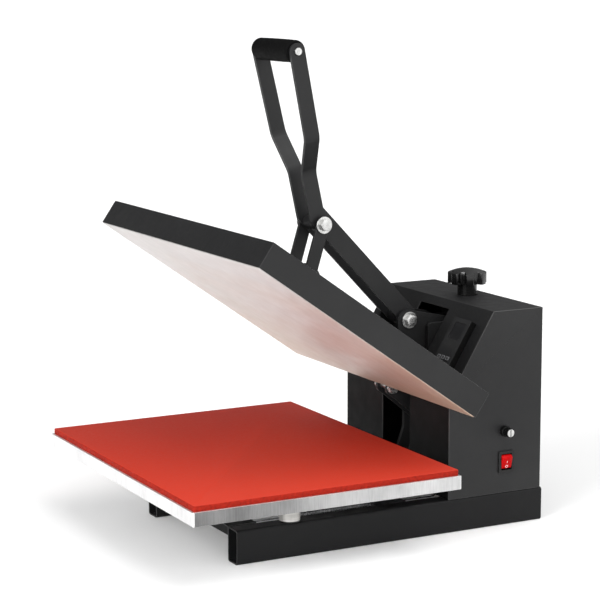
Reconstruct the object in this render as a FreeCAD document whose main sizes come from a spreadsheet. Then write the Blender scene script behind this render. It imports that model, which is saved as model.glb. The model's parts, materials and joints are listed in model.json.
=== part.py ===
"""Clamshell heat press with a 500 x 400 mm platen, standing open.

Frame: origin on the standing surface, on the machine's centre plane, midway between its
front and its back. +X to the operator's right, +Y to the back, +Z up.
Places along Y are laid out from the front edge of the silicone pad, and every finished
piece is brought forward by origin_place. Everything that swings with the upper platen is
drawn closed and then turned open about the hinge axle.
"""

import FreeCAD, Part
import math
import os
from types import SimpleNamespace

import Sketcher
from FreeCAD import Placement, Rotation, Vector

DIMENSIONS = {
    "origin_place": 301.9,
    # lower platen and its posts
    "platen_width": 500,
    "platen_depth": 400,
    "plate_thick": 19,
    "plate_overhang": 3,
    "plate_corner": 2.5,
    "pad_thick": 8,
    "pad_top": 121.8,
    "post_radius": 15,
    "post_side_place": 197,
    # base tubes
    "tube_outer": 149.8,
    "tube_width": 28.2,
    "tube_height": 48.7,
    "tube_front": 109.3,
    "tube_back": 606.6,
    "tube_wall": 2,
    "tube_corner": 4,
    # casing of sheet steel
    "case_outer": 149.2,
    "case_front": 446.7,
    "case_back": 603.8,
    "case_top": 316.8,
    "slope_foot": 197.8,
    "slope_head": 520.1,
    "sheet_thick": 1.5,
    "slot_half": 40,
    "slot_low": 60,
    "slot_high": 305,
    # tower inside the casing
    "base_plate_thick": 6,
    "upright_inner": 31,
    "upright_thick": 6,
    "upright_front": 479,
    "upright_back": 592,
    "upright_top": 286,
    "hinge_place": 524.1,
    "hinge_height": 130.1,
    "axle_radius": 8,
    # upper platen, drawn closed
    "open_angle": 35,
    "cover_width": 525,
    "cover_depth": 402.6,
    "cover_height": 37.8,
    "cover_back": 400,
    "cover_low": 123,
    "cover_thick": 1.5,
    "heater_gap": 0.5,
    "heater_thick": 16,
    "heater_low": 122,
    "arm_plate_inner": 10.5,
    "arm_plate_thick": 6,
    "tail_drop": 103.7,
    "tail_back": 17.6,
    # lever linkage, drawn open
    "lever_pivot_place": 451,
    "lever_pivot_height": 292,
    "knee_place": 308.8,
    "knee_height": 440.8,
    "link_length": 71.67,
    "link_lean": 16.91,
    "bar_thick": 5,
    "bar_width": 23,
    "bar_low_inner": 17.5,
    "bar_high_inner": 54.9,
    "bar_bend_inner": 49,
    "arm_width": 28,
    "arm_shift": 4.8,
    "grip_place": 251.3,
    "grip_height": 688.3,
    "handle_lean": 12.2,
    "jog_top": 124,
    "jog_bottom": 175.5,
    "grip_radius": 16,
    "link_inner": 23.5,
    "link_thick": 5,
    "link_radius": 9.5,
    "bolt_radius": 5,
    "running_gap": 0.05,
    "washer_radius": 12.2,
    "washer_thick": 2.5,
    "hex_radius": 8.6,
    "hex_thick": 6.2,
    "nut_thick": 8,
    # pressure screw and knob
    "screw_place": 570,
    "screw_radius": 8,
    "knob_radius": 30,
    "knob_low": 334,
    "knob_top": 357.2,
    "neck_radius": 14.6,
    "neck_low": 303,
    "slider_low": 232,
    "slider_high": 270,
    # return springs
    "spring_side": 74,
    "spring_height": 35,
    "spring_radius": 7,
    "spring_front": 222,
    "spring_rear": 372,
}

doc = FreeCAD.newDocument("heat_press")
sheet = doc.addObject("Spreadsheet::Sheet", "dims")
for row, (alias, value) in enumerate(DIMENSIONS.items(), start=1):
    sheet.set(f"A{row}", alias)
    sheet.set(f"B{row}", str(value))
    sheet.setAlias(f"B{row}", alias)
doc.recompute()
D = SimpleNamespace(**{alias: float(getattr(sheet, alias)) for alias in DIMENSIONS})

ALONG_X = Rotation(Vector(0, 1, 0), 90)
ALONG_Y = Rotation(Vector(1, 0, 0), -90)
ALONG_Z = Rotation()
DOWN_Z = Rotation(Vector(1, 0, 0), 180)
SIDES = (("left", -1), ("right", 1))

FORWARD = Placement(Vector(0, -D.origin_place, 0), ALONG_Z)
HINGE = Vector(0, D.hinge_place, D.hinge_height)
OPEN = Placement(Vector(0, 0, 0), Rotation(Vector(1, 0, 0), -D.open_angle), HINGE)

# the slider's guide pins run in upright slots
GUIDE_PLACE = (534, 258)

# the springs' studs stand behind the front crossbar's front face
STUD_INSET = 26

# ends of the swing arms' tails, where the return springs pull, with the platen closed
TAIL = HINGE + Vector(0, D.tail_back, -D.tail_drop)

nodes = {}


# ---------------------------------------------------------------- helpers


def keep(label, item):
    """Take an object as a finished sub-part and bring it to the machine's origin."""
    item.Label = label
    item.Placement = FORWARD.multiply(item.Placement)
    nodes[label] = item


def part(kind, sizes, place=Vector(), turn=ALONG_Z):
    """A Part primitive whose sizes are bound to expressions."""
    item = doc.addObject("Part::" + kind, kind.lower())
    for prop, expression in sizes.items():
        item.setExpression(prop, str(expression))
    item.Placement = Placement(place, turn)
    return item


def box(low, lengths):
    """A Part::Box from its low corner and its three lengths."""
    return part("Box", dict(zip(("Length", "Width", "Height"), lengths)), Vector(*low))


def rod(start, radius, length, turn=ALONG_Z):
    """A Part::Cylinder from the centre of its first end."""
    return part("Cylinder", {"Radius": radius, "Height": length}, Vector(*start), turn)


def hexagon(start, radius, thick, turn=ALONG_Z):
    """A six-sided Part::Prism, as a bolt head or a nut."""
    item = part("Prism", {"Circumradius": radius, "Height": thick}, Vector(*start), turn)
    item.Polygon = 6
    return item


def fuse(*items):
    item = doc.addObject("Part::MultiFuse", "joined")
    item.Shapes = list(items)
    return item


def cut(base, *tools):
    item = doc.addObject("Part::Cut", "shaped")
    item.Base = base
    item.Tool = tools[0] if len(tools) == 1 else fuse(*tools)
    return item


def common(first, second):
    item = doc.addObject("Part::Common", "shared")
    item.Base = first
    item.Tool = second
    return item


def group(items):
    """Separate identical solids that share one sub-part."""
    item = doc.addObject("Part::Compound", "group")
    item.Links = list(items)
    return item


def swing_open(item):
    """Turn a piece drawn on the closed platen to the open rest position."""
    item.Placement = OPEN.multiply(item.Placement)
    return item


def rounded(corners):
    """Line and arc edges of a closed outline. A corner is (across, up, radius)."""
    count = len(corners)
    points = [Vector(corner[0], corner[1], 0) for corner in corners]
    firsts, lasts, arcs = [], [], []
    for index, corner in enumerate(corners):
        here, radius = points[index], corner[2]
        back = (points[index - 1] - here).normalize()
        ahead = (points[(index + 1) % count] - here).normalize()
        half = back.getAngle(ahead) / 2
        reach = radius / math.tan(half)
        first = here + back * reach
        last = here + ahead * reach
        firsts.append(first)
        lasts.append(last)
        if radius > 0:
            inward = (back + ahead).normalize()
            middle = here + inward * (radius / math.sin(half) - radius)
            arcs.append(Part.Arc(first, middle, last))
    edges = []
    for index in range(count):
        start, end = lasts[index], firsts[(index + 1) % count]
        if start.distanceToPoint(end) > 1e-6:
            edges.append(Part.LineSegment(start, end))
    return edges + arcs


def sketch_on(body, role, offset, edges, holes=()):
    """A sketch on one of the body's origin planes, moved out by an offset expression."""
    plane = next(item for item in body.Origin.OriginFeatures if item.Role == role)
    sketch = body.newObject("Sketcher::SketchObject", body.Name + "_outline")
    sketch.AttachmentSupport = [(plane, "")]
    sketch.MapMode = "FlatFace"
    sketch.setExpression("AttachmentOffset.Base.z", str(offset))
    sketch.addGeometry(edges, False)
    for across, up, radius in holes:
        value = radius if isinstance(radius, (int, float)) else getattr(D, radius)
        circle = Part.Circle(Vector(across, up, 0), Vector(0, 0, 1), value)
        index = sketch.addGeometry(circle, False)
        number = sketch.addConstraint(Sketcher.Constraint("Radius", index, value))
        if value != radius:
            sketch.setExpression(f"Constraints[{number}]", "dims." + radius)
    return sketch


def plate(role, offset, thick, corners, holes=()):
    """A body padded from one rounded outline with round holes."""
    body = doc.addObject("PartDesign::Body", "plate")
    sketch = sketch_on(body, role, offset, rounded(corners), holes)
    pad = body.newObject("PartDesign::Pad", body.Name + "_pad")
    pad.Profile = sketch
    pad.setExpression("Length", str(thick))
    body.Tip = pad
    return body


def turned(profile, place, turn=ALONG_Z):
    """A body turned about its own Z axis from (radius, height, corner radius) points."""
    body = doc.addObject("PartDesign::Body", "turned")
    sketch = sketch_on(body, "XZ_Plane", 0, rounded(profile))
    spin = body.newObject("PartDesign::Revolution", body.Name + "_spin")
    spin.Profile = sketch
    spin.ReferenceAxis = (sketch, ["V_Axis"])
    spin.Angle = 360
    body.Tip = spin
    body.Placement = Placement(Vector(*place), turn)
    return body


def rectangle(low, high, radius=0):
    """Corners of a rectangle with one corner radius."""
    return [
        (low[0], low[1], radius),
        (high[0], low[1], radius),
        (high[0], high[1], radius),
        (low[0], high[1], radius),
    ]


def bolt(start, radius, length, head_radius, head_thick, turn=ALONG_Z):
    """A hexagon bolt: the head's outer face at the start, the shank along the turn."""
    direction = turn.multVec(Vector(0, 0, 1))
    start = Vector(*start)
    return fuse(
        hexagon(start, head_radius, head_thick, turn),
        rod(start, radius, f"{head_thick} + {length}", turn),
        rod(start + direction * head_thick, head_radius + 2, 1, turn),
    )


# ---------------------------------------------------------------- base


def make_base():
    low_x = D.tube_outer - D.tube_width
    bolt_rows = (468, 585)
    bolt_side = D.tube_outer - D.tube_width / 2
    bolt_radius, hole_radius = 4, 4.3
    bolt_length, head_radius, head_thick, collar = 16, 7.2, 5.3, 1
    for name, side in SIDES:
        outer = sorted((side * low_x, side * D.tube_outer))
        wall = D.tube_wall
        body = doc.addObject("PartDesign::Body", "tube")
        edges = rounded(rectangle((outer[0], 0), (outer[1], D.tube_height), D.tube_corner))
        edges += rounded(
            rectangle(
                (outer[0] + wall, wall),
                (outer[1] - wall, D.tube_height - wall),
                D.tube_corner - wall,
            )
        )
        sketch = sketch_on(body, "XZ_Plane", "-dims.tube_back", edges)
        pad = body.newObject("PartDesign::Pad", body.Name + "_pad")
        pad.Profile = sketch
        pad.setExpression("Length", "dims.tube_back - dims.tube_front")
        body.Tip = pad
        drills = [
            rod((side * bolt_side, y, D.tube_height - 5), hole_radius, 10) for y in bolt_rows
        ]
        keep(f"base_tube_{name}", cut(body, *drills))

    span = "2 * (dims.tube_outer - dims.tube_width)"
    front_thick, front_depth = 12.7, 44
    front_low = D.tube_height - front_thick
    front = box((-low_x, D.tube_front, front_low), (span, front_depth, front_thick))
    stud_drop, stud_radius, head_wide, head_deep = 12, 3, 5.5, 3
    studs = []
    for _, side in SIDES:
        place = (side * D.spring_side, D.tube_front + STUD_INSET)
        studs.append(rod((*place, front_low - stud_drop), stud_radius, stud_drop + 2))
        studs.append(rod((*place, front_low - stud_drop - 2), head_wide, head_deep))
    keep("front_crossbar", fuse(front, *studs))
    rear_place, rear_depth, rear_thick = 352, 40, 6
    rear_low = (-low_x, rear_place, D.tube_height - rear_thick)
    keep("rear_crossbar", box(rear_low, (span, rear_depth, rear_thick)))

    base_plate = plate(
        "XY_Plane",
        "dims.tube_height",
        "dims.base_plate_thick",
        rectangle((-147, 452), (147, 600), 3),
        [(side * bolt_side, y, hole_radius) for _, side in SIDES for y in bolt_rows],
    )
    arm_opening = box((-29, 462, D.tube_height - 2), (58, 100, 12))
    keep("base_plate", cut(base_plate, arm_opening))
    top = D.tube_height + D.base_plate_thick
    bolts = []
    for _, side in SIDES:
        for y in bolt_rows:
            head = (side * bolt_side, y, top + collar + head_thick)
            bolts.append(bolt(head, bolt_radius, bolt_length, head_radius, head_thick, DOWN_Z))
    keep("base_plate_bolts", group(bolts))


def make_lower_platen():
    half = D.platen_width / 2
    overhang = D.plate_overhang
    blank = plate(
        "XY_Plane",
        "dims.pad_top - dims.pad_thick - dims.plate_thick",
        "dims.plate_thick",
        rectangle(
            (-half - overhang, -overhang),
            (half + overhang, D.platen_depth + overhang),
            D.plate_corner,
        ),
    )
    keep("lower_platen", blank)
    keep(
        "silicone_pad",
        plate(
            "XY_Plane",
            "dims.pad_top - dims.pad_thick",
            "dims.pad_thick",
            rectangle((-half, 0), (half, D.platen_depth), 1.5),
        ),
    )
    side_post = D.tube_outer - D.tube_width / 2
    front_post, rear_post = (60, D.tube_front + 22), (26, 372)
    spots = [(side_post, D.post_side_place), front_post, rear_post]
    posts = []
    height = "dims.pad_top - dims.pad_thick - dims.plate_thick - dims.tube_height"
    for x, y in spots:
        for _, side in SIDES:
            posts.append(rod((side * x, y, D.tube_height), "dims.post_radius", height))
    keep("platen_posts", group(posts))


# ---------------------------------------------------------------- tower


def make_tower():
    foot = D.tube_height + D.base_plate_thick
    flare_front, flare_low, flare_high = 462, 70, 117
    outline = [
        (flare_front, foot, 2),
        (flare_front, flare_low, 6),
        (D.upright_front, flare_high, 20),
        (D.upright_front, D.upright_top, 6),
        (D.upright_back, D.upright_top, 2),
        (D.upright_back, foot, 2),
    ]
    slot_low, slot_top, slot_radius = 236, 282, 6.4
    pin_place = GUIDE_PLACE[0]
    for name, side in SIDES:
        offset = "dims.upright_inner" if side > 0 else "-dims.upright_inner - dims.upright_thick"
        blank = plate(
            "YZ_Plane",
            offset,
            "dims.upright_thick",
            outline,
            [(D.hinge_place, D.hinge_height, "axle_radius")],
        )
        inner = D.upright_inner if side > 0 else -D.upright_inner - D.upright_thick
        guide = fuse(
            rod((inner - 1, pin_place, slot_low + slot_radius), slot_radius, 8, ALONG_X),
            rod((inner - 1, pin_place, slot_top - slot_radius), slot_radius, 8, ALONG_X),
            box(
                (inner - 1, pin_place - slot_radius, slot_low + slot_radius),
                (8, 2 * slot_radius, slot_top - slot_low - 2 * slot_radius),
            ),
        )
        keep(f"upright_{name}", cut(blank, guide))
    reach = D.upright_inner + D.upright_thick
    bridge_thick, bridge_front, thread_play = 8, 546, 0.3
    bridge = plate(
        "XY_Plane",
        "dims.upright_top",
        bridge_thick,
        rectangle((-reach, bridge_front), (reach, D.upright_back), 3),
        [(0, D.screw_place, D.screw_radius + thread_play)],
    )
    keep("top_bridge", bridge)
    flange_radius, flange_thick = 11, 3
    ends = reach + flange_thick
    hinge = (D.hinge_place, D.hinge_height)
    axle = fuse(
        rod((-ends, *hinge), "dims.axle_radius", 2 * ends, ALONG_X),
        rod((reach, *hinge), flange_radius, flange_thick, ALONG_X),
        rod((-ends, *hinge), flange_radius, flange_thick, ALONG_X),
    )
    keep("hinge_axle", axle)


# ---------------------------------------------------------------- casing


def slope_frame():
    """Placement whose X runs across, Y up the slope and Z out of the slope's outer face."""
    run = D.slope_head - D.case_front
    rise = D.case_top - D.slope_foot
    angle = math.degrees(math.atan2(rise, run))
    return Placement(Vector(0, D.case_front, D.slope_foot), Rotation(Vector(1, 0, 0), angle))


def make_case():
    thick = D.sheet_thick
    inner_half = D.case_outer - thick
    foot = D.tube_height
    run = D.slope_head - D.case_front
    rise = D.case_top - D.slope_foot
    slope = math.atan2(rise, run)
    low_step = thick * math.tan((math.pi / 2 - slope) / 2)
    high_step = thick * math.tan(slope / 2)
    back = D.case_back - thick
    outline = [
        (D.case_front, foot, 0),
        (D.case_front, D.slope_foot, 1.6),
        (D.slope_head, D.case_top, 1.6),
        (back, D.case_top, 0),
        (back, D.case_top - thick, 0),
        (D.slope_head + high_step, D.case_top - thick, 0.3),
        (D.case_front + thick, D.slope_foot - low_step, 0.3),
        (D.case_front + thick, foot, 0),
    ]
    wrap = plate("YZ_Plane", f"-{inner_half}", 2 * inner_half, outline)
    slot = box(
        (-D.slot_half, D.case_front - 5, D.slot_low),
        ("2 * dims.slot_half", 80, "dims.slot_high - dims.slot_low"),
    )
    neck_hole = rod((0, D.screw_place, D.case_top - 5), D.neck_radius + 0.7, 10)
    keep("case_wrap", cut(wrap, slot, neck_hole))

    silhouette = [
        (D.case_front, foot, 0),
        (D.case_front, D.slope_foot, 1.6),
        (D.slope_head, D.case_top, 1.6),
        (D.case_back, D.case_top, 1),
        (D.case_back, foot, 0),
    ]
    fuse_hole = (FUSE_PLACE[0], FUSE_PLACE[1], 6.2)
    for name, side in SIDES:
        offset = (
            "dims.case_outer - dims.sheet_thick" if side > 0 else "-dims.case_outer"
        )
        holes = [fuse_hole] if side > 0 else []
        panel = plate("YZ_Plane", offset, "dims.sheet_thick", silhouette, holes)
        if side > 0:
            window = box(
                (inner_half - 2, SWITCH_PLACE[0] - 10.5, SWITCH_PLACE[1] - 13.5), (6, 21, 27)
            )
            panel = cut(panel, window)
        keep(f"case_side_{name}", panel)

    vents = []
    for column in range(-3, 4):
        x = column * 24
        vents.append(box((x - 2, back - 2, 210), (4, 8, 60)))
    inlet_x, inlet_z, inlet_wide, inlet_high = 60, 76.25, 28, 20.5
    inlet_hole = box(
        (inlet_x - 0.2, back - 2, inlet_z - 0.2), (inlet_wide + 0.4, 8, inlet_high + 0.4)
    )
    panel = box(
        (-inner_half, back, foot),
        (2 * inner_half, "dims.sheet_thick", "dims.case_top - dims.tube_height"),
    )
    screw_spots = [(side * 138, z) for _, side in SIDES for z in (70, 185, 300)]
    drills = [rod((x, back - 3, z), 1.8, 8, ALONG_Y) for x, z in screw_spots]
    keep("case_back", cut(panel, inlet_hole, *vents, *drills))
    screws = []
    for x, z in screw_spots:
        screws.append(
            fuse(
                rod((x, D.case_back - 8, z), 1.7, 8, ALONG_Y),
                rod((x, D.case_back, z), 3.4, 1.8, ALONG_Y),
            )
        )
    keep("case_screws", group(screws))
    inlet_deep, wall, flange_thick = 18, 2, 3
    inlet_start = D.case_back - inlet_deep
    inlet = fuse(
        box((inlet_x, inlet_start, inlet_z), (inlet_wide, inlet_deep, inlet_high)),
        box((inlet_x - 10, D.case_back, inlet_z - 4.25), (inlet_wide + 20, flange_thick, 29)),
    )
    socket = box(
        (inlet_x + wall, inlet_start + 2.5, inlet_z + wall),
        (inlet_wide - 2 * wall, inlet_deep + flange_thick, inlet_high - 2 * wall),
    )
    blades = []
    for blade_x in (66, 73, 80):
        blades.append(box((blade_x, inlet_start + 1, inlet_z + 7.75), (2, 15, 4)))
    keep("mains_inlet", fuse(cut(inlet, socket), *blades))


# ---------------------------------------------------------------- controls

BOX_CENTRE = 101.5
BOX_HALF = 22.5
BOX_LOW, BOX_HIGH, BOX_DEEP = 40, 115, 10
FUSE_PLACE = (540.8, 140.2)
SWITCH_PLACE = (543.8, 94.4)


def on_slope(item):
    """Move a piece drawn in the slope's own frame onto the casing."""
    item.Placement = slope_frame().multiply(item.Placement)
    return item


def make_controls():
    left, right = BOX_CENTRE - BOX_HALF, BOX_CENTRE + BOX_HALF
    housing = plate("XY_Plane", 0, BOX_DEEP, rectangle((left, BOX_LOW), (right, BOX_HIGH), 1.5))
    glass_half, glass_low, glass_high, glass_thick = 14, 82, 108, 2.6
    recess = 3
    window = box(
        (BOX_CENTRE - glass_half, glass_low, BOX_DEEP - recess),
        (2 * glass_half, glass_high - glass_low, 2 * recess),
    )
    key_row, key_pitch, key_wide, key_high, key_foot, key_thick = 52, 11, 8, 6, 6, 5.4
    key_gap, well_foot = 0.3, 4
    key_places = [BOX_CENTRE - key_pitch, BOX_CENTRE, BOX_CENTRE + key_pitch]
    wells = []
    for x in key_places:
        wells.append(
            box(
                (x - key_wide / 2 - key_gap, key_row - key_high / 2 - key_gap, well_foot),
                (key_wide + 2 * key_gap, key_high + 2 * key_gap, BOX_DEEP),
            )
        )
    keep("control_box", on_slope(cut(housing, window, *wells)))
    glass = plate(
        "XY_Plane",
        BOX_DEEP - recess,
        glass_thick,
        rectangle((BOX_CENTRE - glass_half, glass_low), (BOX_CENTRE + glass_half, glass_high), 0.5),
    )
    keep("display_window", on_slope(glass))
    for name, x in zip(("left", "middle", "right"), key_places):
        outline = rectangle(
            (x - key_wide / 2, key_row - key_high / 2), (x + key_wide / 2, key_row + key_high / 2), 1
        )
        keep(f"button_{name}", on_slope(plate("XY_Plane", key_foot, key_thick, outline)))

    outer = D.case_outer
    body_radius, body_deep, neck_radius, neck_end = 6, 24, 5, 11
    flange_radius, flange_thick = 7.9, 6.5
    holder = turned(
        [
            (0, -body_deep, 0),
            (body_radius, -body_deep, 0),
            (body_radius, 0, 0),
            (flange_radius, 0, 0),
            (flange_radius, flange_thick, 1.8),
            (neck_radius, flange_thick, 0),
            (neck_radius, neck_end, 0.5),
            (0, neck_end, 0),
        ],
        (outer, *FUSE_PLACE),
        ALONG_X,
    )
    keep("fuse_holder", holder)
    cap_radius, cap_gap, cap_end = 6.3, 0.3, 16.8
    cap_foot, bore_radius, bore_end = flange_thick + cap_gap, neck_radius + cap_gap, neck_end + cap_gap
    cap_body = turned(
        [
            (bore_radius, cap_foot, 0),
            (cap_radius, cap_foot, 0),
            (cap_radius, cap_end, 0.8),
            (0, cap_end, 0),
            (0, bore_end, 0),
            (bore_radius, bore_end, 0),
        ],
        (outer, *FUSE_PLACE),
        ALONG_X,
    )
    notch_wide, notch_deep = 1.4, 1.6
    y, z = FUSE_PLACE
    notch = box(
        (outer + cap_end - notch_deep, y - notch_wide / 2, z - cap_radius - 1),
        (2 * notch_deep, notch_wide, 2 * cap_radius + 2),
    )
    keep("fuse_cap", cut(cap_body, notch))

    y, z = SWITCH_PLACE
    bezel_thick, bezel_half, bezel_tall = 2.2, 13, 16
    bezel = plate(
        "YZ_Plane",
        "dims.case_outer",
        bezel_thick,
        rectangle((y - bezel_half, z - bezel_tall), (y + bezel_half, z + bezel_tall), 2),
    )
    can_deep, can_half, can_tall, can_wall = 20, 10.2, 13.2, 1.2
    can = box((outer - can_deep, y - can_half, z - can_tall), (can_deep, 2 * can_half, 2 * can_tall))
    well_deep = 12
    well = box(
        (outer - well_deep, y - can_half + can_wall, z - can_tall + can_wall),
        (can_deep, 2 * (can_half - can_wall), 2 * (can_tall - can_wall)),
    )
    pivot = Vector(outer - 3, y, z)
    pin_radius, pin_half = 1.5, 10
    pin_foot = (pivot.x, y - pin_half - 1, z)
    pin_bore = rod(pin_foot, pin_radius + D.running_gap, 2 * pin_half + 2, ALONG_Y)
    keep("switch_bezel", cut(fuse(bezel, can), well, pin_bore))
    rocker_half, rocker_wide, tilt = 10.6, 17.2, 14
    face_half, face_out, end_out, tail_in = 8.4, 6.6, 2.6, 5
    profile = [
        (-tail_in, -rocker_half, 1),
        (end_out, -rocker_half, 0.5),
        (face_out, -face_half, 1),
        (face_out, face_half, 1),
        (end_out, rocker_half, 0.5),
        (-tail_in, rocker_half, 1),
    ]
    paddle = plate("XZ_Plane", -rocker_wide / 2, rocker_wide, profile)
    trunnions = rod((0, -pin_half, 0), pin_radius, 2 * pin_half, ALONG_Y)
    rocker = fuse(paddle, trunnions)
    rocker.Placement = Placement(pivot, Rotation(Vector(0, 1, 0), tilt))
    keep("switch_rocker", rocker)

    board_drop, board_thick = 14, 1.6
    board = plate(
        "XY_Plane",
        -board_drop,
        board_thick,
        rectangle((left - 4, BOX_LOW - 4), (right + 2, BOX_HIGH + 4), 2),
    )
    keep("controller_board", on_slope(board))


# ---------------------------------------------------------------- slider and knob


def make_slider():
    pivot = (D.lever_pivot_place, D.lever_pivot_height)
    tail_low, tail_high = D.slider_low, D.slider_high
    outline = [
        (pivot[0] - 20.5, pivot[1] + 19, 15),
        (514, 293, 6),
        (546, tail_high, 4),
        (590, tail_high, 3),
        (590, tail_low, 3),
        (500, tail_low, 8),
        (pivot[0] - 17.5, pivot[1] - 17.5, 15),
    ]
    ears = []
    for _, side in SIDES:
        offset = "dims.link_inner" if side > 0 else "-dims.link_inner - dims.link_thick"
        ears.append(
            plate("YZ_Plane", offset, "dims.link_thick", outline, [(*pivot, "bolt_radius")])
        )
    half = D.link_inner
    block = box((-half, 548, tail_low), (2 * half, 42, tail_high - tail_low))
    brace = box((-half, 508, tail_low), (2 * half, 40, 10))
    bore = rod((0, D.screw_place, tail_low - 5), D.screw_radius + D.running_gap, 50)
    keep("pressure_slider", cut(fuse(*ears, block, brace), bore))
    pin_radius, pin_length = 6, 9.5
    pins = []
    for _, side in SIDES:
        start = half + D.link_thick if side > 0 else -half - D.link_thick - pin_length
        pins.append(rod((start, *GUIDE_PLACE), pin_radius, pin_length, ALONG_X))
    keep("guide_pins", group(pins))
    pivot_hardware("upper_pivot", pivot, 0)


def pivot_hardware(name, pivot, play):
    """A through bolt with a washer under the head and under the nut, with side play."""
    face = D.link_inner + D.link_thick + play
    head_start = face + D.washer_thick
    nut_start = -face - D.washer_thick - D.nut_thick
    thread_past_nut = 2.5
    shank_start = nut_start - thread_past_nut
    shank = rod((shank_start, *pivot), "dims.bolt_radius", head_start - shank_start, ALONG_X)
    head = hexagon((head_start, *pivot), "dims.hex_radius", "dims.hex_thick", ALONG_X)
    keep(f"{name}_bolt", fuse(shank, head))
    washers = []
    for start in (face, -face - D.washer_thick):
        disc = rod((start, *pivot), "dims.washer_radius", "dims.washer_thick", ALONG_X)
        hole = rod((start - 1, *pivot), D.bolt_radius, D.washer_thick + 2, ALONG_X)
        washers.append(cut(disc, hole))
    keep(f"{name}_washers", group(washers))
    nut = hexagon((nut_start, *pivot), "dims.hex_radius", "dims.nut_thick", ALONG_X)
    bore = rod((nut_start - 1, *pivot), D.bolt_radius, D.nut_thick + 2, ALONG_X)
    keep(f"{name}_nut", cut(nut, bore))


def make_knob():
    low, top = D.knob_low, D.knob_top
    core = turned(
        [(0, low, 0), (20, low, 2), (24, low + 5, 3), (24, top - 7, 5), (15, top, 12), (0, top, 0)],
        (0, D.screw_place, 0),
    )
    lobes = []
    lobe_count, lobe_radius = 7, 7.6
    for index in range(lobe_count):
        angle = 2 * math.pi * (index + 0.5) / lobe_count
        reach = D.knob_radius - lobe_radius
        spot = (reach * math.cos(angle), D.screw_place + reach * math.sin(angle), 0)
        profile = [
            (0, low + 1, 0),
            (lobe_radius, low + 1, 3),
            (lobe_radius, top - 4, 3),
            (0, top - 4, 0),
        ]
        lobes.append(turned(profile, spot))
    neck = rod((0, D.screw_place, D.neck_low), "dims.neck_radius", low - D.neck_low + 3)
    socket_top = 340
    socket = rod((0, D.screw_place, D.neck_low - 1), D.screw_radius, socket_top - D.neck_low + 1)
    keep("pressure_knob", cut(fuse(core, neck, *lobes), socket))
    collar_radius, collar_thick, play = 13, 5, 0.3
    screw_low = D.slider_low - play - collar_thick
    upper_collar = rod((0, D.screw_place, D.slider_high + play), collar_radius, collar_thick)
    lower_collar = rod((0, D.screw_place, screw_low), collar_radius, collar_thick)
    shank = rod((0, D.screw_place, screw_low), "dims.screw_radius", socket_top - screw_low)
    keep("pressure_screw", fuse(shank, upper_collar, lower_collar))


# ---------------------------------------------------------------- lever and links


def lever_lines():
    """Corners of the lever plate's side outline, from the pivot's nose round the elbow."""
    pivot = Vector(D.lever_pivot_place, D.lever_pivot_height, 0)
    knee = Vector(D.knee_place, D.knee_height, 0)
    grip = Vector(D.grip_place, D.grip_height, 0)
    along = (knee - pivot).normalize()
    outward = Vector(along.y, -along.x, 0)
    if outward.x < 0:
        outward = outward * -1
    lean = math.radians(D.handle_lean)
    down = Vector(math.sin(lean), -math.cos(lean), 0)
    behind = Vector(math.cos(lean), math.sin(lean), 0)
    start = pivot + outward * D.arm_shift
    upper = start + outward * (D.arm_width / 2)
    lower = start - outward * (D.arm_width / 2)
    rear = grip + behind * (D.bar_width / 2)
    front = grip - behind * (D.bar_width / 2)

    def meet(point, way, other, other_way):
        cross = way.x * other_way.y - way.y * other_way.x
        gap = other - point
        step = (gap.x * other_way.y - gap.y * other_way.x) / cross
        return point + way * step

    outer_elbow = meet(upper, along, rear, down)
    inner_elbow = meet(lower, along, front, down)
    nose = D.arm_width / 2
    cap = D.bar_width / 2
    return [
        (*(upper - along * nose)[:2], nose - 0.01),
        (*outer_elbow[:2], 5),
        (*(rear - down * cap)[:2], cap - 0.01),
        (*(front - down * cap)[:2], cap - 0.01),
        (*inner_elbow[:2], 9),
        (*(lower - along * nose)[:2], nose - 0.01),
    ], down


def ribbon(down, side):
    """The jogged strip seen edge on, swept wide across the lever's side outline."""
    lean = D.handle_lean
    thick = D.bar_thick
    low, high, elbow = D.bar_low_inner, D.bar_high_inner, D.bar_bend_inner
    top, bottom, end, above = D.jog_top, D.jog_bottom, 520, 60
    splay = (high - elbow) / top
    crown = high + splay * above
    bend = thick * math.tan(math.atan2(elbow - low, bottom - top) / 2)
    inside = 24
    outside = inside + thick
    corners = [
        (side * crown, above, 0),
        (side * (crown + thick), above, 0),
        (side * (elbow + thick), -top - bend, outside),
        (side * (low + thick), -bottom - bend, inside),
        (side * (low + thick), -end, 0),
        (side * low, -end, 0),
        (side * low, -bottom, outside),
        (side * elbow, -top, inside),
    ]
    strip = plate("XZ_Plane", -300, 600, corners)
    strip.Placement = Placement(
        Vector(0, D.grip_place, D.grip_height), Rotation(Vector(1, 0, 0), lean)
    )
    return strip


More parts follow.
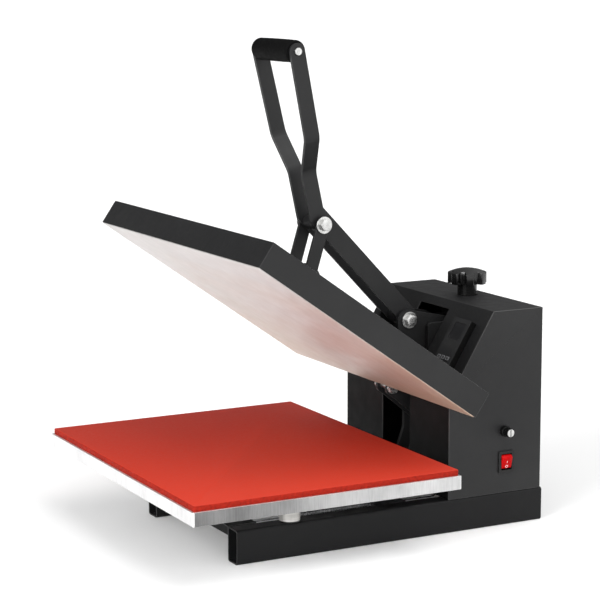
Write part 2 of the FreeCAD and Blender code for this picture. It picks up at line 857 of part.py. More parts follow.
def make_lever():
    outline, down = lever_lines()
    pivot = (D.lever_pivot_place, D.lever_pivot_height)
    knee = (D.knee_place, D.knee_height)
    grip = (D.grip_place, D.grip_height)
    low, thick = D.bar_low_inner, D.bar_thick
    width = D.bar_high_inner + thick - low + 4
    pin_hole = D.bolt_radius + D.running_gap
    for name, side in SIDES:
        offset = low - 2 if side > 0 else -low + 2 - width
        blank = plate(
            "YZ_Plane",
            offset,
            width,
            outline,
            [(*pivot, pin_hole), (*knee, D.bolt_radius), (*grip, 3)],
        )
        keep(f"lever_plate_{name}", common(blank, ribbon(down, side)))
    end_gap, screw_radius, screw_length = 0.6, 3, 24
    head_radius, head_thick, head_gap = 5.2, 2.4, 0.35
    socket_radius, socket_deep = 2.6, 1.6
    reach = D.bar_high_inner - end_gap
    bar = rod((-reach, *grip), "dims.grip_radius", 2 * reach, ALONG_X)
    bore = screw_length + 2
    threads = [
        rod((start, *grip), screw_radius, bore, ALONG_X) for start in (-reach - 1, reach - bore + 1)
    ]
    keep("grip", cut(bar, *threads))
    seat = D.bar_high_inner + thick + head_gap
    screws = []
    for _, side in SIDES:
        shank_start = seat - screw_length if side > 0 else -seat
        head_start = seat if side > 0 else -seat - head_thick
        socket_start = seat + head_thick - socket_deep if side > 0 else -seat - head_thick - 1
        shank = rod((shank_start, *grip), screw_radius, screw_length, ALONG_X)
        head = rod((head_start, *grip), head_radius, head_thick, ALONG_X)
        socket = hexagon((socket_start, *grip), socket_radius, socket_deep + 1, ALONG_X)
        screws.append(cut(fuse(shank, head), socket))
    keep("grip_screws", group(screws))
    spacer_radius = 10
    spacers = []
    for spot in (pivot, knee):
        tube = rod((-low, *spot), spacer_radius, 2 * low, ALONG_X)
        spacers.append(cut(tube, rod((-low - 1, *spot), pin_hole, 2 * low + 2, ALONG_X)))
    keep("lever_spacers", group(spacers))
    knee_play = 0.2
    pivot_hardware("knee", knee, knee_play)


def link_foot():
    """Lower pivot of the links, with the press open."""
    lean = math.radians(D.link_lean)
    return (
        D.knee_place - D.link_length * math.sin(lean),
        D.knee_height - D.link_length * math.cos(lean),
    )


def make_links():
    foot = link_foot()
    radius = D.link_radius
    lean = math.radians(D.link_lean)
    along = Vector(-math.sin(lean), -math.cos(lean), 0)
    across = Vector(along.y, -along.x, 0)
    knee = Vector(D.knee_place, D.knee_height, 0)
    end = Vector(*foot, 0)
    outline = []
    for point, way in ((knee, -1), (end, 1)):
        for turn in (1, -1):
            spot = point + along * (way * radius) + across * (turn * way * radius)
            outline.append((spot.x, spot.y, radius - 0.01))
    hole = D.bolt_radius + D.running_gap
    pin_gap, head_thick = 0.6, 6
    face = D.link_inner + D.link_thick
    stub = D.arm_plate_inner + D.arm_plate_thick + pin_gap
    pins = []
    for name, side in SIDES:
        offset = "dims.link_inner" if side > 0 else "-dims.link_inner - dims.link_thick"
        strap = plate(
            "YZ_Plane",
            offset,
            "dims.link_thick",
            outline,
            [(D.knee_place, D.knee_height, hole), (*foot, "bolt_radius")],
        )
        keep(f"link_{name}", strap)
        shank_start = stub if side > 0 else -face - 1
        head_start = face if side > 0 else -face - head_thick
        shank = rod((shank_start, *foot), "dims.bolt_radius", face - stub + 1, ALONG_X)
        head = hexagon((head_start, *foot), "dims.hex_radius", head_thick, ALONG_X)
        pins.append(fuse(shank, head))
    keep("link_pins", group(pins))


# ---------------------------------------------------------------- upper platen


def make_upper_platen():
    half = D.cover_width / 2
    front = D.cover_back - D.cover_depth
    wall = D.cover_thick
    top = D.cover_low + D.cover_height
    tray = plate(
        "XY_Plane",
        "dims.cover_low",
        "dims.cover_height",
        rectangle((-half, front), (half, D.cover_back), 1.6),
    )
    hollow = plate(
        "XY_Plane",
        "dims.cover_low - 1",
        "dims.cover_height - dims.cover_thick + 1",
        rectangle((-half + wall, front + wall), (half - wall, D.cover_back - wall), 0.5),
    )
    bolt_spots = [(side * 46, y) for _, side in SIDES for y in (230, 366)]
    bolt_radius, thread_depth = 4, 10
    drills = [rod((x, y, top - 5), bolt_radius, 12) for x, y in bolt_spots]
    keep("platen_cover", swing_open(cut(tray, hollow, *drills)))

    inset = wall + D.heater_gap
    heater_half = half - inset
    heater_front = front + inset
    heater_back = D.cover_back - inset
    rim = "2 * (dims.cover_thick + dims.heater_gap)"
    heater_top = D.heater_low + D.heater_thick
    heater = plate(
        "XY_Plane",
        "dims.heater_low",
        "dims.heater_thick",
        rectangle((-heater_half, heater_front), (heater_half, heater_back), 1.5),
    )
    blind = [rod((x, y, heater_top - thread_depth), bolt_radius, 14) for x, y in bolt_spots]
    keep("heater_plate", swing_open(cut(heater, *blind)))
    board = box(
        (-heater_half, heater_front, heater_top),
        (f"dims.cover_width - {rim}", f"dims.cover_depth - {rim}", top - wall - heater_top),
    )
    through = [rod((x, y, heater_top - 2), bolt_radius, 40) for x, y in bolt_spots]
    keep("insulation_board", swing_open(cut(board, *through)))

    base_thick, base_half, base_front, base_back = 6, 62, 212, 384
    mounting = plate(
        "XY_Plane",
        top,
        base_thick,
        rectangle((-base_half, base_front), (base_half, base_back), 5),
        [(x, y, bolt_radius) for x, y in bolt_spots],
    )
    keep("mounting_plate", swing_open(mounting))
    bolts = []
    head_radius, head_thick, collar = 7.2, 5.3, 1
    shank = top + base_thick - (heater_top - thread_depth) + collar
    for x, y in bolt_spots:
        start = (x, y, top + base_thick + collar + head_thick)
        bolts.append(bolt(start, bolt_radius, shank, head_radius, head_thick, DOWN_Z))
    keep("mounting_bolts", swing_open(group(bolts)))

    foot = OPEN.inverse().multVec(Vector(0, *link_foot()))
    ear = (foot.y, foot.z)
    tail = (TAIL.y, TAIL.z)
    seat = top + base_thick
    sleeve_radius = 15
    outline = [
        (ear[0] - 13, seat, 3),
        (ear[0] - 13, ear[1] + 12.5, 11),
        (ear[0] + 13, ear[1] + 12.5, 11),
        (236, 188, 20),
        (430, 190, 40),
        (D.hinge_place + 26, D.hinge_height + 24, 22),
        (tail[0] + 13, tail[1] - 13, 11),
        (tail[0] - 13, tail[1] - 11, 11),
        (D.hinge_place - 26, D.hinge_height - 22, 16),
        (426, 114.5, 10),
        (404.5, 114.5, 9),
        (404.5, seat, 2),
    ]
    cross = (412.5, 126)
    ear_radius, tail_radius, cross_radius = 7, 6, 5
    holes = [
        (D.hinge_place, D.hinge_height, sleeve_radius),
        (*ear, ear_radius),
        (*tail, tail_radius),
        (*cross, cross_radius),
    ]
    for name, side in SIDES:
        offset = (
            "dims.arm_plate_inner"
            if side > 0
            else "-dims.arm_plate_inner - dims.arm_plate_thick"
        )
        arm = plate("YZ_Plane", offset, "dims.arm_plate_thick", outline, holes)
        keep(f"swing_arm_{name}", swing_open(arm))
    sleeve_half = D.upright_inner - 0.5
    hinge = (D.hinge_place, D.hinge_height)
    tube = rod((-sleeve_half, *hinge), sleeve_radius, 2 * sleeve_half, ALONG_X)
    bore_radius = D.axle_radius + D.running_gap
    bore = rod((-sleeve_half - 1, *hinge), bore_radius, 2 * sleeve_half + 2, ALONG_X)
    keep("hinge_sleeve", swing_open(cut(tube, bore)))
    pin_half = D.arm_plate_inner + D.arm_plate_thick
    disc_radius, disc_thick, nut_radius, nut_thick = 9, 1.8, 8, 5
    cross_half = pin_half + disc_thick + nut_thick - 0.8
    cross_parts = [rod((-cross_half, *cross), cross_radius, 2 * cross_half, ALONG_X)]
    for start in (-pin_half - disc_thick, pin_half):
        cross_parts.append(rod((start, *cross), disc_radius, disc_thick, ALONG_X))
    for start in (-pin_half - disc_thick - nut_thick, pin_half + disc_thick):
        cross_parts.append(hexagon((start, *cross), nut_radius, nut_thick, ALONG_X))
    keep("arm_cross_bolt", swing_open(fuse(*cross_parts)))
    ear_pin = rod((-pin_half, *ear), ear_radius, 2 * pin_half, ALONG_X)
    keep("link_pin_tube", swing_open(ear_pin))
    rod_half = D.spring_side + 9
    keep("tail_rod", swing_open(rod((-rod_half, *tail), tail_radius, 2 * rod_half, ALONG_X)))


# ---------------------------------------------------------------- springs


def make_springs():
    """Each spring stands as a closed coil cylinder with its two straight hook ends."""
    stud_gap, tail_gap, hook_radius, hook_drop = 3.4, 6.4, 1.5, 3
    front_end = D.tube_front + STUD_INSET + stud_gap
    rear_end = OPEN.multVec(TAIL).y - tail_gap
    rear_start = D.spring_rear - 1
    for name, side in SIDES:
        x = side * D.spring_side
        length = "dims.spring_rear - dims.spring_front"
        height = D.spring_height
        coil = rod((x, D.spring_front, height), "dims.spring_radius", length, ALONG_Y)
        front_gap = D.spring_front - front_end + 1
        front = rod((x, front_end, height - hook_drop), hook_radius, front_gap, ALONG_Y)
        rear = rod((x, rear_start, height), hook_radius, rear_end - rear_start, ALONG_Y)
        keep(f"return_spring_{name}", fuse(coil, front, rear))


# ---------------------------------------------------------------- build and write

make_base()
make_lower_platen()
make_tower()
make_case()
make_controls()
make_slider()
make_knob()
make_lever()
make_links()
make_upper_platen()
make_springs()
doc.recompute()

for item in doc.Objects:
    broken = [state for state in item.State if state in ("Invalid", "Error")]
    if broken:
        raise RuntimeError(f"{item.Name} ({item.TypeId}) failed: {item.State}")
for label, item in nodes.items():
    shape = item.Shape
    if shape.isNull() or not shape.isValid() or not shape.Solids:
        raise RuntimeError(f"{label} has no valid solid")

os.makedirs("parts", exist_ok=True)
for label, item in nodes.items():
    item.Shape.exportStep(os.path.join("parts", label + ".step"))
print(len(nodes), "sub-parts")
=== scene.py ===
"""Looks of the clamshell heat press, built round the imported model.

Metres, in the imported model's frame: +X to the operator's right, +Y to the back, +Z up.
The CAD pieces keep their shape and get softened edges and materials. The silicone pad,
the springs, the knob, the grip, the hexagon hardware, the keys, the control box's patch
and the rocker are detailed meshes.
"""

import json
import math

import bmesh
import bpy
from mathutils import Matrix, Vector


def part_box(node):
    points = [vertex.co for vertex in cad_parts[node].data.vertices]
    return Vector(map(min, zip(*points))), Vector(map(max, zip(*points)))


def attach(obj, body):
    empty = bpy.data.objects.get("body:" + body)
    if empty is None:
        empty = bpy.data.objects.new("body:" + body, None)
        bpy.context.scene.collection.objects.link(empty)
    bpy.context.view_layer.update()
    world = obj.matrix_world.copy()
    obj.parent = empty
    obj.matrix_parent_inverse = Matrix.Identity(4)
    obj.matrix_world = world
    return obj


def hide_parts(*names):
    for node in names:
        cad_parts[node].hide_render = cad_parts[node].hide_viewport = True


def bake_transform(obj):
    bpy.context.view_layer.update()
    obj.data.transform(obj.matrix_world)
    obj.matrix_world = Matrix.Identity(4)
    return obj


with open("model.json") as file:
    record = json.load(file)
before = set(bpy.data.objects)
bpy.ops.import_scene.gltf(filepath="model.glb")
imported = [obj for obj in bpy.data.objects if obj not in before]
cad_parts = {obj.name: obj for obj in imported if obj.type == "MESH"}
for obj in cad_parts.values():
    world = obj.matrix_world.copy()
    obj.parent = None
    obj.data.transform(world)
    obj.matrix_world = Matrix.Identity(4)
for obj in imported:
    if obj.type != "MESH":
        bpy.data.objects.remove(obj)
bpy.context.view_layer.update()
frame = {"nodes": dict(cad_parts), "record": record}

MM = 0.001
NODES = frame["nodes"]


# ---------------------------------------------------------------- camera

# where the photo was taken from: the result of a least-squares fit to the photo
AZIMUTH, ELEVATION, ROLL = (math.radians(angle) for angle in (62.25, 9.48, -0.11))
EYE = Vector((2.5246, -1.3447, 0.8069))
LENS_MM = 120.74


def make_camera():
    """The camera, well to the press's right and forward of it, a little above its top."""
    back = Vector((
        math.sin(AZIMUTH) * math.cos(ELEVATION),
        -math.cos(AZIMUTH) * math.cos(ELEVATION),
        math.sin(ELEVATION),
    ))
    level = Vector((math.cos(AZIMUTH), math.sin(AZIMUTH), 0))
    upward = back.cross(level)
    right = level * math.cos(ROLL) + upward * math.sin(ROLL)
    up = upward * math.cos(ROLL) - level * math.sin(ROLL)
    data = bpy.data.cameras.new("camera")
    data.lens = LENS_MM
    data.clip_end = 50
    camera = bpy.data.objects.new("camera", data)
    bpy.context.scene.collection.objects.link(camera)
    turn = Matrix((right, up, back)).transposed().to_4x4()
    camera.matrix_world = Matrix.Translation(EYE) @ turn
    bpy.context.scene.camera = camera


# ---------------------------------------------------------------- materials


def add(tree, kind, inputs=None, **settings):
    """A node with its settings, and its inputs given as values or as sockets."""
    node = tree.nodes.new(kind)
    for key, value in settings.items():
        setattr(node, key, value)
    for key, value in (inputs or {}).items():
        if isinstance(value, bpy.types.NodeSocket):
            tree.links.new(value, node.inputs[key])
        else:
            node.inputs[key].default_value = value
    return node


def material(name, **sockets):
    """A material with its Principled shader's constant sockets set."""
    made = bpy.data.materials.new(name)
    made.use_nodes = True
    shader = made.node_tree.nodes["Principled BSDF"]
    for key, value in sockets.items():
        shader.inputs[key.replace("_", " ")].default_value = value
    return made, made.node_tree, shader


def place(tree, scale=(1, 1, 1)):
    """Object coordinates, stretched by a scale for each axis."""
    coordinates = add(tree, "ShaderNodeTexCoord")
    mapping = add(tree, "ShaderNodeMapping", {"Vector": coordinates.outputs["Object"], "Scale": scale})
    return mapping.outputs["Vector"]


def grain(tree, scale, detail=3.0, stretch=(1, 1, 1), roughness=0.5):
    """The value of a noise texture, its scale in cells per metre."""
    where = place(tree, stretch)
    inputs = {"Vector": where, "Scale": scale, "Detail": detail, "Roughness": roughness}
    return add(tree, "ShaderNodeTexNoise", inputs).outputs["Fac"]


def spread(tree, value, low, high, start=0.3, stop=0.7):
    """A value's middle range taken to low..high."""
    inputs = {"Value": value, "From Min": start, "From Max": stop, "To Min": low, "To Max": high}
    return add(tree, "ShaderNodeMapRange", inputs).outputs["Result"]


def tint(tree, value, first, second, start=0.3, stop=0.7):
    """A colour that goes from first to second as a value goes from start to stop."""
    ramp = add(tree, "ShaderNodeValToRGB", {"Fac": value})
    ramp.color_ramp.elements[0].position = start
    ramp.color_ramp.elements[1].position = stop
    ramp.color_ramp.elements[0].color = (*first, 1)
    ramp.color_ramp.elements[1].color = (*second, 1)
    return ramp.outputs["Color"]


def blend(tree, share, first, second, target):
    """Two colours mixed by a share into a socket."""
    mixed = add(tree, "ShaderNodeMix", data_type="RGBA")
    for key, value in (("Factor", share), ("A", first), ("B", second)):
        socket = next(item for item in mixed.inputs if item.name == key and item.enabled)
        tree.links.new(value, socket)
    tree.links.new(next(item for item in mixed.outputs if item.enabled), target)


def relief(tree, shader, height, strength, distance, under=None):
    """Bump from a height, on top of another bump's normal if one is given."""
    inputs = {"Height": height, "Strength": strength, "Distance": distance}
    if under is not None:
        inputs["Normal"] = under
    bump = add(tree, "ShaderNodeBump", inputs)
    tree.links.new(bump.outputs["Normal"], shader.inputs["Normal"])
    return bump.outputs["Normal"]


def powder_coat(name, dark, light, rough, sheen):
    """Baked black powder coat: an orange-peel skin with fine specks."""
    made, tree, shader = material(name, Specular_IOR_Level=sheen)
    cloud = grain(tree, 9, 4)
    tree.links.new(tint(tree, cloud, dark, light), shader.inputs["Base Color"])
    tree.links.new(spread(tree, grain(tree, 60, 3), *rough), shader.inputs["Roughness"])
    peel = relief(tree, shader, grain(tree, 420, 2), 0.10, 0.0006)
    relief(tree, shader, grain(tree, 2200, 2), 0.22, 0.00025, peel)
    return made


def bright_zinc():
    """Bright zinc plate, a little clouded."""
    made, tree, shader = material("bright_zinc", Metallic=1.0)
    cloud = grain(tree, 160, 4)
    tree.links.new(tint(tree, cloud, (0.52, 0.52, 0.51), (0.72, 0.72, 0.71)), shader.inputs["Base Color"])
    tree.links.new(spread(tree, grain(tree, 500, 3), 0.22, 0.40), shader.inputs["Roughness"])
    relief(tree, shader, grain(tree, 1500, 3), 0.12, 0.0002)
    return made


def spring_wire():
    """Drawn spring steel."""
    made, tree, shader = material("spring_wire", Metallic=1.0)
    cloud = grain(tree, 220, 3)
    tree.links.new(tint(tree, cloud, (0.16, 0.16, 0.165), (0.30, 0.30, 0.305)), shader.inputs["Base Color"])
    tree.links.new(spread(tree, grain(tree, 700, 2), 0.22, 0.38), shader.inputs["Roughness"])
    return made


# Height below which the posts are painted near-black as shade.
SHADE_PAINT_TOP = 50.7 * MM


def turned_post():
    """A dull turned post, painted near-black below a height as shade where it stands on the tube."""
    made, tree, shader = material("turned_post", Metallic=0.45, Roughness=0.45)
    rings = grain(tree, 240, 3, (0.1, 0.1, 1))
    metal = tint(tree, rings, (0.40, 0.39, 0.37), (0.56, 0.55, 0.53))
    # near-black: painted shade over the post's foot, below the height set above
    black = tint(tree, rings, (0.008, 0.008, 0.008), (0.012, 0.012, 0.012))
    height = add(tree, "ShaderNodeSeparateXYZ", {"Vector": place(tree)}).outputs["Z"]
    share = spread(tree, height, 0.0, 1.0, SHADE_PAINT_TOP - 0.1 * MM, SHADE_PAINT_TOP + 0.1 * MM)
    blend(tree, share, black, metal, shader.inputs["Base Color"])
    relief(tree, shader, rings, 0.1, 0.0003)
    return made


# Where the painted reflection on the lower platen's right-hand face goes from dark to bright along Y.
PLATE_FRONT, PLATE_MIDDLE = -0.24, 0.0


def sawn_aluminium(name, near, far):
    """Sawn aluminium: upright strokes, their greys going from near to far along Y; where near and far
    differ, that change is a painted reflection.
    """
    made, tree, shader = material(name, Metallic=0.85)
    strokes = grain(tree, 900, 4, (1, 1, 0.04), 0.65)
    blotches = grain(tree, 26, 4, (1, 1, 0.6))
    mixed = add(tree, "ShaderNodeMath", {0: strokes, 1: blotches}, operation="ADD").outputs[0]
    half = add(tree, "ShaderNodeMath", {0: mixed, 1: 0.5}, operation="MULTIPLY").outputs[0]
    front, rear = (
        tint(tree, half, (dark,) * 3, (light,) * 3, 0.35, 0.62) for dark, light in (near, far)
    )
    depth = add(tree, "ShaderNodeSeparateXYZ", {"Vector": place(tree)}).outputs["Y"]
    share = spread(tree, depth, 0.0, 1.0, PLATE_FRONT, PLATE_MIDDLE)
    blend(tree, share, front, rear, shader.inputs["Base Color"])
    tree.links.new(spread(tree, strokes, 0.34, 0.52), shader.inputs["Roughness"])
    relief(tree, shader, strokes, 0.30, 0.0004)
    return made


# Where the heater's cream turns to the tan painted reflection along Y.
CREAM_END, PAINTED_REFLECTION_START = -0.16, 0.10


def heater_coat():
    """The heater's smooth cream coat, with a tan painted reflection in streaks towards the hinge."""
    made, tree, shader = material("heater_coat", Metallic=0.25, Specular_IOR_Level=0.5)
    cloud = grain(tree, 7, 5)
    cream = tint(tree, cloud, (0.50, 0.49, 0.475), (0.55, 0.54, 0.525))
    # tan: a painted reflection of the red pad and the dark casing, stronger towards the rear
    tan = tint(tree, cloud, (0.50, 0.37, 0.28), (0.55, 0.41, 0.315))
    depth = add(tree, "ShaderNodeSeparateXYZ", {"Vector": place(tree)}).outputs["Y"]
    streak = spread(tree, grain(tree, 9, 3, (0.25, 1, 1)), -0.06, 0.06)
    where = add(tree, "ShaderNodeMath", {0: depth, 1: streak}, operation="ADD").outputs[0]
    share = spread(tree, where, 0.0, 1.0, CREAM_END, PAINTED_REFLECTION_START)
    blend(tree, share, cream, tan, shader.inputs["Base Color"])
    tree.links.new(spread(tree, grain(tree, 45, 4), 0.30, 0.40), shader.inputs["Roughness"])
    relief(tree, shader, grain(tree, 700, 2, (1, 0.08, 1)), 0.05, 0.0003)
    return made


def silicone(name, dark, light, bump, pores, sheen):
    """Red sponge silicone; pores opens its cells, as on a cut edge."""
    made, tree, shader = material(name, Specular_IOR_Level=sheen)
    flecks = grain(tree, 260, 4)
    tree.links.new(tint(tree, flecks, dark, light), shader.inputs["Base Color"])
    tree.links.new(spread(tree, flecks, 0.58, 0.68), shader.inputs["Roughness"])
    cells = add(
        tree, "ShaderNodeTexVoronoi", {"Vector": place(tree), "Scale": pores}, feature="F1"
    ).outputs["Distance"]
    open_cells = relief(tree, shader, cells, bump, 0.0006)
    relief(tree, shader, grain(tree, 350, 3), 0.12, 0.0005, open_cells)
    return made


def plastic(name, colour, rough, bump=0.06, scale=900, **sockets):
    """Moulded plastic with a fine even texture and a faint change of tone."""
    made, tree, shader = material(name, **sockets)
    pale = tuple(min(1.0, channel * 1.35 + 0.002) for channel in colour)
    tree.links.new(tint(tree, grain(tree, 30, 3), colour, pale), shader.inputs["Base Color"])
    tree.links.new(spread(tree, grain(tree, 120, 2), rough - 0.04, rough + 0.05), shader.inputs["Roughness"])
    relief(tree, shader, grain(tree, scale, 2), bump, 0.0003)
    return made


def foam_rubber():
    """Black foam with fine cells."""
    made, tree, shader = material("foam_rubber", Specular_IOR_Level=0.05)
    tree.links.new(
        tint(tree, grain(tree, 50, 4), (0.002, 0.002, 0.002), (0.0035, 0.0035, 0.0036)),
        shader.inputs["Base Color"],
    )
    tree.links.new(spread(tree, grain(tree, 200, 2), 0.62, 0.76), shader.inputs["Roughness"])
    cells = add(tree, "ShaderNodeTexVoronoi", {"Vector": place(tree), "Scale": 1300.0}).outputs["Distance"]
    relief(tree, shader, cells, 0.25, 0.0003)
    return made


def fibre_board():
    """Pale pressed insulation with fibres along it."""
    made, tree, shader = material("fibre_board", Roughness=0.9)
    fibres = grain(tree, 260, 5, (1, 0.3, 1))
    tree.links.new(tint(tree, fibres, (0.62, 0.60, 0.54), (0.82, 0.81, 0.77)), shader.inputs["Base Color"])
    relief(tree, shader, fibres, 0.4, 0.0006)
    return made


def circuit_board():
    """Green board with brassy tracks."""
    made, tree, shader = material("circuit_board", Roughness=0.35)
    tracks = add(
        tree, "ShaderNodeTexBrick", {"Vector": place(tree), "Scale": 120.0, "Mortar Size": 0.03}
    ).outputs["Fac"]
    colour = tint(tree, tracks, (0.01, 0.09, 0.03), (0.30, 0.28, 0.10), 0.2, 0.8)
    tree.links.new(colour, shader.inputs["Base Color"])
    return made


COAT = powder_coat(
    "powder_coat", (0.0075, 0.0075, 0.008), (0.0115, 0.0115, 0.0118), (0.42, 0.52), 0.32
)
# Darker copy of the coat with less sheen: painted shade on the base tubes, low by the floor.
COAT_LOW_PAINTED_SHADE = powder_coat(
    "powder_coat_base_painted_shade", (0.0055, 0.0055, 0.006), (0.008, 0.008, 0.0083), (0.44, 0.54), 0.16
)
# Darkest copy of the coat: painted shade on the casing's front face under the lid and on the front crossbar.
COAT_DARK_PAINTED_SHADE = powder_coat(
    "powder_coat_front_painted_shade", (0.003, 0.003, 0.003), (0.0045, 0.0045, 0.0046), (0.5, 0.6), 0.09
)
# Lighter coat on the rounded edges: edge wear and a painted highlight.
COAT_EDGE_WEAR_AND_HIGHLIGHT = powder_coat(
    "powder_coat_edge_wear_and_highlight", (0.04, 0.04, 0.04), (0.08, 0.08, 0.08), (0.36, 0.46), 0.4
)
# Pale grey on the cover's rounded edges: a painted highlight line.
COVER_EDGE_PAINTED_HIGHLIGHT = powder_coat(
    "cover_edge_painted_highlight", (0.16, 0.16, 0.16), (0.30, 0.30, 0.30), (0.34, 0.44), 0.5
)
ZINC = bright_zinc()
WIRE = spring_wire()
ALUMINIUM = sawn_aluminium("sawn_aluminium", (0.70, 0.92), (0.70, 0.92))
# Right-hand face of the lower platen: painted reflection, darker than the front edge and brightening from
# front to rear.
ALUMINIUM_SIDE_PAINTED_REFLECTION = sawn_aluminium("sawn_aluminium_side_painted_reflection", (0.11, 0.24), (0.40, 0.62))
POST = turned_post()
HEATER = heater_coat()
PAD_SKIN = silicone("silicone_skin", (0.49, 0.024, 0.006), (0.52, 0.027, 0.008), 0.05, 900.0, 0.42)
PAD_CUT = silicone("silicone_cut_edge", (0.20, 0.009, 0.004), (0.36, 0.018, 0.008), 0.6, 1100.0, 0.08)
MOULDED = plastic("black_moulding", (0.0015, 0.0015, 0.0015), 0.45, 0.05, 1600, Specular_IOR_Level=0.12)
BEZEL = plastic("bezel_black", (0.007, 0.007, 0.007), 0.42, 0.05, 1600, Specular_IOR_Level=0.25)
FACE_PLATE = plastic("control_face", (0.018, 0.018, 0.0185), 0.42, 0.05, 1200, Specular_IOR_Level=0.22)
FACE_SHADE = plastic("control_face_badge", (0.016, 0.016, 0.017), 0.5, 0.05, 1200, Specular_IOR_Level=0.3)
GLOSSY = plastic("gloss_black", (0.0025, 0.0025, 0.0025), 0.24, 0.003, 2400, Specular_IOR_Level=0.5)
SMOKED = plastic("smoked_window", (0.010, 0.010, 0.011), 0.34, 0.02, 200, Specular_IOR_Level=0.25)
BUTTON = plastic("button_cap", (0.030, 0.030, 0.031), 0.38)
BUTTON_RING = plastic("button_ring", (0.13, 0.13, 0.135), 0.42)
ROCKER = plastic("rocker_red", (0.33, 0.0015, 0.002), 0.34, 0.02, 400, Specular_IOR_Level=0.05)
MARK = plastic("switch_marks", (0.78, 0.55, 0.56), 0.45)
GRIP = foam_rubber()
FIBRE = fibre_board()
BOARD = circuit_board()

FINISH = {
    "black_coat": COAT,
    "zinc_steel": ZINC,
    "spring_steel": WIRE,
    "platen_aluminium": ALUMINIUM,
    "heater_coating": HEATER,
    "red_silicone": PAD_SKIN,
    "insulation": FIBRE,
    "black_plastic": MOULDED,
    "black_gloss": GLOSSY,
    "grip_rubber": GRIP,
    "display": SMOKED,
    "button_grey": BUTTON,
    "rocker_red": ROCKER,
    "circuit_board": BOARD,
}


# ---------------------------------------------------------------- CAD pieces

EDGE_WIDTH = {
    "platen_cover": 0.9,
    "lower_platen": 0.6,
    "heater_plate": 0.8,
    "base_tube_left": 0.4,
    "base_tube_right": 0.4,
}
PLAIN_EDGE = 0.35
# Nodes whose rounded edges take the lighter edge coat: edge wear and painted highlight.
WORN_AND_HIGHLIGHTED_EDGES = {
    "platen_cover", "case_wrap", "case_side_left", "case_side_right", "case_back",
    "lever_plate_left", "lever_plate_right", "link_left", "link_right", "base_tube_left",
    "base_tube_right", "pressure_slider", "front_crossbar",
}


def soften(node, width):
    """Rounded edges for a CAD node, by modifiers that leave its own mesh as it is."""
    weld = node.modifiers.new("weld", "WELD")
    weld.merge_threshold = 0.01 * MM
    flat = node.modifiers.new("flat", "DECIMATE")
    flat.decimate_type = "DISSOLVE"
    flat.angle_limit = math.radians(0.5)
    bevel = node.modifiers.new("edges", "BEVEL")
    bevel.width = width
    bevel.segments = 2
    bevel.limit_method = "ANGLE"
    bevel.angle_limit = math.radians(35)
    # the bevel faces take the second slot, the lighter edge coat: wear and painted highlight
    if len(node.data.materials) > 1:
        bevel.material = 1
    smooth = node.modifiers.new("normals", "WEIGHTED_NORMAL")
    smooth.weight = 80
    for face in node.data.polygons:
        face.use_smooth = True


# Own finishes; the base tubes and the front crossbar take darker copies of the coat as painted shade.
OWN_FINISH = {
    "platen_posts": POST,
    "lever_spacers": COAT,
    "link_pins": COAT,
    "switch_bezel": BEZEL,
    "base_tube_left": COAT_LOW_PAINTED_SHADE,
    "base_tube_right": COAT_LOW_PAINTED_SHADE,
    "front_crossbar": COAT_DARK_PAINTED_SHADE,
}
SLOPE_OUT = Vector((0, -0.8511, 0.5250))
# Finishes on one face: the control box's face plate, the fuse cap's end, painted shade on the casing's front
# face, and a painted reflection on the lower platen's right-hand face.
FRONT_FINISH = {
    "control_box": (FACE_PLATE, SLOPE_OUT),
    "fuse_cap": (ZINC, Vector((1, 0, 0))),
    "case_wrap": (COAT_DARK_PAINTED_SHADE, Vector((0, -1, 0))),
    "lower_platen": (ALUMINIUM_SIDE_PAINTED_REFLECTION, Vector((1, 0, 0))),
}


def face_forward(node, finish, outward):
    """Another finish on the foremost flat face of a CAD node."""
    square, play = 0.99, 0.2 * MM
    node.data.materials.append(finish)
    reach = max(vertex.co.dot(outward) for vertex in node.data.vertices)
    for face in node.data.polygons:
        if face.normal.dot(outward) > square and face.center.dot(outward) > reach - play:
            face.material_index = len(node.data.materials) - 1


def dress_cad():
    """Every CAD node's finish, worn edges with a painted highlight, and special faces, some with painted
    shade or a painted reflection.
    """
    slots = {row["node"]: row["material_slot"] for row in frame["record"]["subparts"]}
    for name, node in NODES.items():
        finish = OWN_FINISH.get(name, FINISH[slots[name]])
        node.data.materials.clear()
        node.data.materials.append(finish)
        if name in WORN_AND_HIGHLIGHTED_EDGES:
            node.data.materials.append(COVER_EDGE_PAINTED_HIGHLIGHT if name == "platen_cover" else COAT_EDGE_WEAR_AND_HIGHLIGHT)
        for face in node.data.polygons:
            face.material_index = 0
        soften(node, EDGE_WIDTH.get(name, PLAIN_EDGE) * MM)
        if name in FRONT_FINISH:
            face_forward(node, *FRONT_FINISH[name])


# ---------------------------------------------------------------- mesh helpers


def middle(node):
    """The middle of a CAD node's box."""
    low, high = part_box(node)
    return (low + high) / 2


def finish_piece(name, shape, body, materials, replaces=(), sharp=35):
    """A bmesh as a shown piece that rides on a body."""
    bmesh.ops.recalc_face_normals(shape, faces=shape.faces)
    data = bpy.data.meshes.new(name)
    shape.to_mesh(data)
    shape.free()
    for item in materials:
        data.materials.append(item)
    data.shade_smooth()
    data.set_sharp_from_angle(angle=math.radians(sharp))
    piece = bpy.data.objects.new(name, data)
    bpy.context.scene.collection.objects.link(piece)
    if body:
        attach(piece, body)
    if replaces:
        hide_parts(*replaces)
    return piece


def loft(shape, rings):
    """Faces between equal rings of points, and one over each end."""
    rows = [[shape.verts.new(point) for point in ring] for ring in rings]
    count = len(rows[0])
    for lower, upper in zip(rows, rows[1:]):
        for side in range(count):
            following = (side + 1) % count
            shape.faces.new((lower[side], lower[following], upper[following], upper[side]))
    shape.faces.new(list(reversed(rows[0])))
    shape.faces.new(rows[-1])


